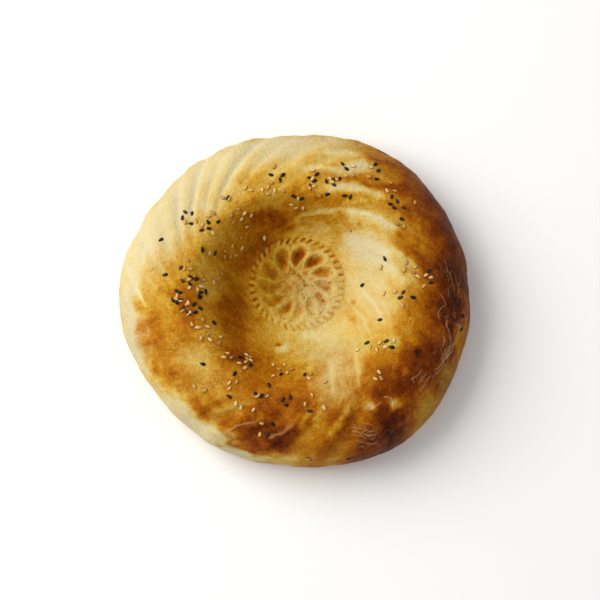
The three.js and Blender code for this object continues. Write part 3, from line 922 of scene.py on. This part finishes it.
def seed_form(segments, rings):
    """A flat drop along +Y, pointed at its far end, one unit in half length."""
    points = [(0.0, -1.0, 0.0)]
    for ring in range(1, rings):
        turn = math.pi * ring / rings
        along = -math.cos(turn)
        girth = math.sin(turn) * (1 - SEED_TAPER * along)
        for i in range(segments):
            around = TURN * i / segments
            points.append((girth * math.cos(around), along, math.sin(turn) * math.sin(around)))
    points.append((0.0, 1.0, 0.0))
    faces = []
    for i in range(segments):
        after = (i + 1) % segments
        faces.append([0, 1 + i, 1 + after])
        for ring in range(rings - 2):
            low, high = 1 + ring * segments, 1 + (ring + 1) * segments
            faces.append([low + i, high + i, high + after, low + after])
        last = 1 + (rings - 2) * segments
        faces.append([last + i, len(points) - 1, last + after])
    return np.array(points), faces


def make_seeds(name, seeds, crust_tree):
    form, form_faces = seed_form(SEED_SEGMENTS, SEED_RINGS)
    size = np.array([SEED_WIDTH / 2, SEED_LENGTH / 2, SEED_THICKNESS / 2])
    draw = make_random(TONE_START)
    points, faces, tone, rim = [], [], [], []
    for place, heading, scale, _ in seeds:
        start = Vector((place[0] * MM, place[1] * MM, 2 * CREST_HEIGHT * MM))
        hit, normal, _, _ = crust_tree.ray_cast(start, Vector((0, 0, -1)))
        ahead = Vector((math.cos(heading), math.sin(heading), 0))
        side = ahead.cross(normal).normalized()
        ahead = normal.cross(side)
        turn = np.array(Matrix((side, ahead, normal)).transposed())
        shape = form * size * np.array([scale, scale, 1]) * MM
        middle = np.array(hit + normal * SEED_RISE * MM)
        base = len(form) * len(points)
        points.append(shape @ turn.T + middle)
        faces.extend([[base + k for k in face] for face in form_faces])
        tone.extend([draw()] * len(form))
        # Painted shade: each seed's sides and underside are made darker.
        rim.append(1 - ramp(form[:, 2], *SEED_SHADE_RIM))
    return make_mesh(name, np.concatenate(points), faces, {"tone": tone, "rim": np.concatenate(rim)})


# ---------------------------------------------------------------- materials

def to_linear(colour):
    return [((c / 255 + 0.055) / 1.055) ** 2.4 if c > 10 else c / 255 / 12.92 for c in colour] + [1]


class Shader:
    """A material and short calls that add and link its nodes."""

    def __init__(self, name):
        self.material = bpy.data.materials.new(name)
        self.material.use_nodes = True
        self.tree = self.material.node_tree
        self.surface = self.tree.nodes["Principled BSDF"]
        self.place = self.add("ShaderNodeTexCoord").outputs["Object"]

    def add(self, kind, **settings):
        made = self.tree.nodes.new(kind)
        for key, value in settings.items():
            setattr(made, key, value)
        return made

    def put(self, value, socket):
        if isinstance(value, bpy.types.NodeSocket):
            self.tree.links.new(value, socket)
        else:
            socket.default_value = value

    def attribute(self, name, output="Fac"):
        return self.add("ShaderNodeAttribute", attribute_name=name).outputs[output]

    def maths(self, operation, a, b=0.0, c=None):
        made = self.add("ShaderNodeMath", operation=operation)
        self.put(a, made.inputs[0])
        self.put(b, made.inputs[1])
        if c is not None:
            self.put(c, made.inputs[2])
        return made.outputs[0]

    def noise(self, scale, detail, rough, place=None):
        made = self.add("ShaderNodeTexNoise")
        self.put(place or self.place, made.inputs["Vector"])
        made.inputs["Scale"].default_value = scale
        made.inputs["Detail"].default_value = detail
        made.inputs["Roughness"].default_value = rough
        return made.outputs["Fac"]

    def creases(self):
        """The crust's own creases: 1 along the middle of one, 0 past its half width."""
        gaps = self.add("ShaderNodeSeparateXYZ")
        strengths = self.add("ShaderNodeSeparateXYZ")
        self.put(self.attribute("crease", "Vector"), gaps.inputs[0])
        self.put(self.attribute("crease_strength", "Vector"), strengths.inputs[0])
        total = 0.0
        for layer in range(CREASE_LAYERS):
            line = self.spread(self.maths("ABSOLUTE", gaps.outputs[layer]), 0, 1, 1, 0)
            total = self.maths("MULTIPLY_ADD", line, strengths.outputs[layer], total)
        return total

    def wrinkles(self, place):
        """Thin branching lines along the rim: 1 where a noise field passes through its middle."""
        stretched = self.add("ShaderNodeVectorMath", operation="MULTIPLY")
        self.put(place, stretched.inputs[0])
        stretched.inputs[1].default_value = WRINKLE_STRETCH
        field = self.noise(*WRINKLE_NOISE, stretched.outputs["Vector"])
        away = self.maths("ABSOLUTE", self.maths("SUBTRACT", field, 0.5))
        return self.spread(away, 0.0, WRINKLE_WIDTH, 1.0, 0.0)

    def spread(self, value, low, high, to_low, to_high):
        made = self.add("ShaderNodeMapRange")
        self.put(value, made.inputs["Value"])
        ends = {"From Min": low, "From Max": high, "To Min": to_low, "To Max": to_high}
        for key, number in ends.items():
            made.inputs[key].default_value = number
        return made.outputs["Result"]

    def ramp(self, value, stops):
        made = self.add("ShaderNodeValToRGB")
        self.put(value, made.inputs["Fac"])
        elements = made.color_ramp.elements
        while len(elements) < len(stops):
            elements.new(0.5)
        for element, (at, colour) in zip(elements, stops):
            element.position = at
            element.color = to_linear(colour)
        return made.outputs["Color"]

    def mix(self, factor, a, b, blend="MIX"):
        made = self.add("ShaderNodeMix", data_type="RGBA", blend_type=blend)
        self.put(factor, made.inputs["Factor"])
        self.put(a, made.inputs["A"])
        self.put(b, made.inputs["B"])
        return made.outputs["Result"]

    def bump(self, height, distance, below=None):
        made = self.add("ShaderNodeBump")
        made.inputs["Strength"].default_value = 1.0
        made.inputs["Distance"].default_value = distance
        self.put(height, made.inputs["Height"])
        if below is not None:
            self.put(below, made.inputs["Normal"])
        return made.outputs["Normal"]


CRUST_COLOURS = [
    (0.0, (216, 200, 152)),
    (0.12, (214, 190, 124)),
    (0.25, (209, 175, 86)),
    (0.38, (196, 148, 42)),
    (0.5, (180, 118, 14)),
    (0.62, (158, 88, 4)),
    (0.75, (128, 58, 2)),
    (0.88, (92, 35, 1)),
    (1.0, (54, 20, 2)),
]
CREAM = (199, 187, 148)
OLIVE = (206, 232, 220)          # multiplies the colour below it
# Pale tan of the creases and wrinkles: partly their own colour, partly a painted highlight.
PALE_CREASE_HIGHLIGHT = (216, 164, 106)
PRICK = (70, 46, 14)
DARK_SEED_COLOURS = [(0, (12, 9, 6)), (0.6, (30, 21, 12)), (1, (66, 44, 20))]
PALE_SEED_COLOURS = [(0, (150, 98, 38)), (0.5, (200, 150, 78)), (1, (228, 194, 130))]
# Painted shade on the seeds' sides and undersides:
DARK_SEED_SHADE = (18, 12, 6)
PALE_SEED_SHADE = (74, 36, 10)

# Noises: (scale, detail, roughness), and how much each one changes the browning or a seed's tone, or
# how high it lifts the surface, in metres.
STREAKS, STREAK_BAKE = (170, 4, 0.6), 0.24
MOTTLE, MOTTLE_BAKE = (240, 4, 0.65), 0.2
SPECKLE, SPECKLE_BAKE = (900, 3, 0.7), 0.4
FINE_GRAIN, FINE_GRAIN_HEIGHT = (1500, 3, 0.6), 0.00022
COARSE_GRAIN, COARSE_GRAIN_HEIGHT = (480, 5, 0.6), 0.0009
SEED_GRAIN, SEED_GRAIN_TONE, SEED_TONE = (900, 2, 0.5), 0.5, 0.75
SEED_SKIN, SEED_SKIN_HEIGHT = (2600, 2, 0.55), 0.00008

WRINKLE_NOISE = (150, 2, 0.5)
WRINKLE_STRETCH = (1, 1, 5)
WRINKLE_WIDTH = 0.025            # of the noise's range
WRINKLE_STRENGTH = 0.5
CREASE_HEIGHT = 0.0005

# How much of its colour each mark shows: the creases' pale tan, partly their own and partly painted
# highlight; the pricks' darker brown; the seeds' painted shade. And how browned the crust may be to look
# creamy.
CREASE_HIGHLIGHT_SHOW = 0.62
PRICK_SHOW = 0.9
SEED_SHADE_SHOW = 0.8
CREAMY_BAKES = 0.34, 0.58

CRUST_ROUGHNESS = 0.1, 0.9, 0.62, 0.42           # two levels of browning, and how rough it is at each
CRUST_SPECULAR = 0.05
SEED_ROUGHNESS, SEED_SPECULAR = 0.35, 0.2
FLOOR_GREY, FLOOR_ROUGHNESS, FLOOR_SPECULAR = 0.93, 0.8, 0.1


def crust_material():
    shader = Shader("crust")
    flow = shader.attribute("flow", "Vector")
    # The browning level, which also carries painted shade on the dark side's edge, in the petals' floors
    # and in the dashes.
    level = shader.attribute("bake_and_shade")
    for noise, amount, place in ((STREAKS, STREAK_BAKE, flow), (MOTTLE, MOTTLE_BAKE, None),
                                 (SPECKLE, SPECKLE_BAKE, None)):
        level = shader.maths("MULTIPLY_ADD", shader.noise(*noise, place), amount, level)
    level = shader.maths("SUBTRACT", level, (STREAK_BAKE + MOTTLE_BAKE + SPECKLE_BAKE) / 2)
    wrinkles = shader.maths("MULTIPLY", shader.wrinkles(flow), shader.attribute("wrinkle"))
    wrinkles = shader.maths("MULTIPLY_ADD", wrinkles, WRINKLE_STRENGTH, shader.creases())

    colour = shader.ramp(level, CRUST_COLOURS)
    olive = shader.mix(1.0, colour, to_linear(OLIVE), "MULTIPLY")
    colour = shader.mix(shader.attribute("olive"), colour, olive)
    pale = shader.spread(level, *CREAMY_BAKES, 1.0, 0.0)
    creamy = shader.maths("MULTIPLY", shader.attribute("cream"), pale)
    colour = shader.mix(creamy, colour, to_linear(CREAM))
    # Pale tan along creases and wrinkles: partly the skin's own colour, partly a painted highlight.
    colour = shader.mix(shader.maths("MULTIPLY", wrinkles, CREASE_HIGHLIGHT_SHOW), colour, to_linear(PALE_CREASE_HIGHLIGHT))
    pricked = shader.maths("MULTIPLY", shader.attribute("prick"), PRICK_SHOW)
    colour = shader.mix(pricked, colour, to_linear(PRICK))
    shader.put(colour, shader.surface.inputs["Base Color"])

    shader.put(shader.spread(level, *CRUST_ROUGHNESS), shader.surface.inputs["Roughness"])
    shader.surface.inputs["Specular IOR Level"].default_value = CRUST_SPECULAR
    grain = shader.bump(shader.noise(*FINE_GRAIN), FINE_GRAIN_HEIGHT)
    grain = shader.bump(shader.noise(*COARSE_GRAIN), COARSE_GRAIN_HEIGHT, grain)
    shader.put(shader.bump(wrinkles, CREASE_HEIGHT, grain), shader.surface.inputs["Normal"])
    return shader.material


def seed_material(name, stops, edge):
    shader = Shader(name)
    tone = shader.maths("MULTIPLY", shader.attribute("tone"), SEED_TONE)
    level = shader.maths("MULTIPLY_ADD", shader.noise(*SEED_GRAIN), SEED_GRAIN_TONE, tone)
    colour = shader.ramp(level, stops)
    # Painted shade on the seed's sides and underside.
    rim = shader.maths("MULTIPLY", shader.attribute("rim"), SEED_SHADE_SHOW)
    colour = shader.mix(rim, colour, to_linear(edge))
    shader.put(colour, shader.surface.inputs["Base Color"])
    shader.surface.inputs["Roughness"].default_value = SEED_ROUGHNESS
    shader.surface.inputs["Specular IOR Level"].default_value = SEED_SPECULAR
    skin = shader.bump(shader.noise(*SEED_SKIN), SEED_SKIN_HEIGHT)
    shader.put(skin, shader.surface.inputs["Normal"])
    return shader.material


def floor_material():
    shader = Shader("floor")
    shader.surface.inputs["Base Color"].default_value = (FLOOR_GREY, FLOOR_GREY, FLOOR_GREY, 1)
    shader.surface.inputs["Roughness"].default_value = FLOOR_ROUGHNESS
    shader.surface.inputs["Specular IOR Level"].default_value = FLOOR_SPECULAR
    return shader.material


# ---------------------------------------------------------------- building the loaf

surface = make_surface()
points, marks = shape_crust(surface)
crust = make_mesh("crust", points, surface.faces, marks)
crust.data.materials.append(crust_material())
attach(crust, "root")
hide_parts("bread")

crust_tree = BVHTree.FromPolygons(points.tolist(), surface.faces)
seeds = scatter_seeds()
dark_seeds = make_seeds("dark_seeds", [seed for seed in seeds if seed[3]], crust_tree)
pale_seeds = make_seeds("pale_seeds", [seed for seed in seeds if not seed[3]], crust_tree)
dark_seeds.data.materials.append(seed_material("dark_seed", DARK_SEED_COLOURS, DARK_SEED_SHADE))
pale_seeds.data.materials.append(seed_material("pale_seed", PALE_SEED_COLOURS, PALE_SEED_SHADE))
for piece, slot in ((dark_seeds, "dark_seed"), (pale_seeds, "pale_seed")):
    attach(piece, "root")
    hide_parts("bread")

# ---------------------------------------------------------------- floor, light and camera

FRAME_WIDTH = 0.36               # what the photograph's 600 pixels span, in metres
CAMERA_DISTANCE = 0.85
CAMERA_ELEVATION = 80
CAMERA_TARGET = Vector((0.0033, -0.0003, 0.0121))
SENSOR_WIDTH = 36                # in millimetres, as the lens

KEY_PLACE = Vector((-1.05, 0.45, 1.05))
KEY_TARGET = Vector((0, 0, 0.02))
KEY_SIZE = 1.3
KEY_POWER = 27.3                 # in watts
KEY_COLOUR = (1, 0.985, 0.94)
WORLD_STRENGTH = 0.52
FLOOR_SIZE = 6

bpy.ops.mesh.primitive_plane_add(size=FLOOR_SIZE)
floor = bpy.context.object
floor.name = "floor"
floor.data.materials.append(floor_material())


def add_aimed(name, data, location, target):
    """Adds a light or a camera that looks at the target."""
    thing = bpy.data.objects.new(name, data)
    thing.location = location
    thing.rotation_euler = (target - location).to_track_quat("-Z", "Y").to_euler()
    bpy.context.collection.objects.link(thing)
    return thing


lamp = bpy.data.lights.new("key", "AREA")
lamp.shape = "SQUARE"
lamp.size = KEY_SIZE
lamp.energy = KEY_POWER
lamp.color = KEY_COLOUR
add_aimed("key", lamp, KEY_PLACE, KEY_TARGET)

world = bpy.data.worlds.new("studio")
bpy.context.scene.world = world
world.use_nodes = True
world.node_tree.nodes["Background"].inputs["Color"].default_value = (1, 1, 1, 1)
world.node_tree.nodes["Background"].inputs["Strength"].default_value = WORLD_STRENGTH

lens = bpy.data.cameras.new("camera")
lens.sensor_width = SENSOR_WIDTH
lens.lens = SENSOR_WIDTH * CAMERA_DISTANCE / FRAME_WIDTH
up = radians(CAMERA_ELEVATION)
camera_place = CAMERA_TARGET + CAMERA_DISTANCE * Vector((0, -math.cos(up), math.sin(up)))
bpy.context.scene.camera = add_aimed("camera", lens, camera_place, CAMERA_TARGET)
bpy.context.scene.view_settings.view_transform = "Standard"
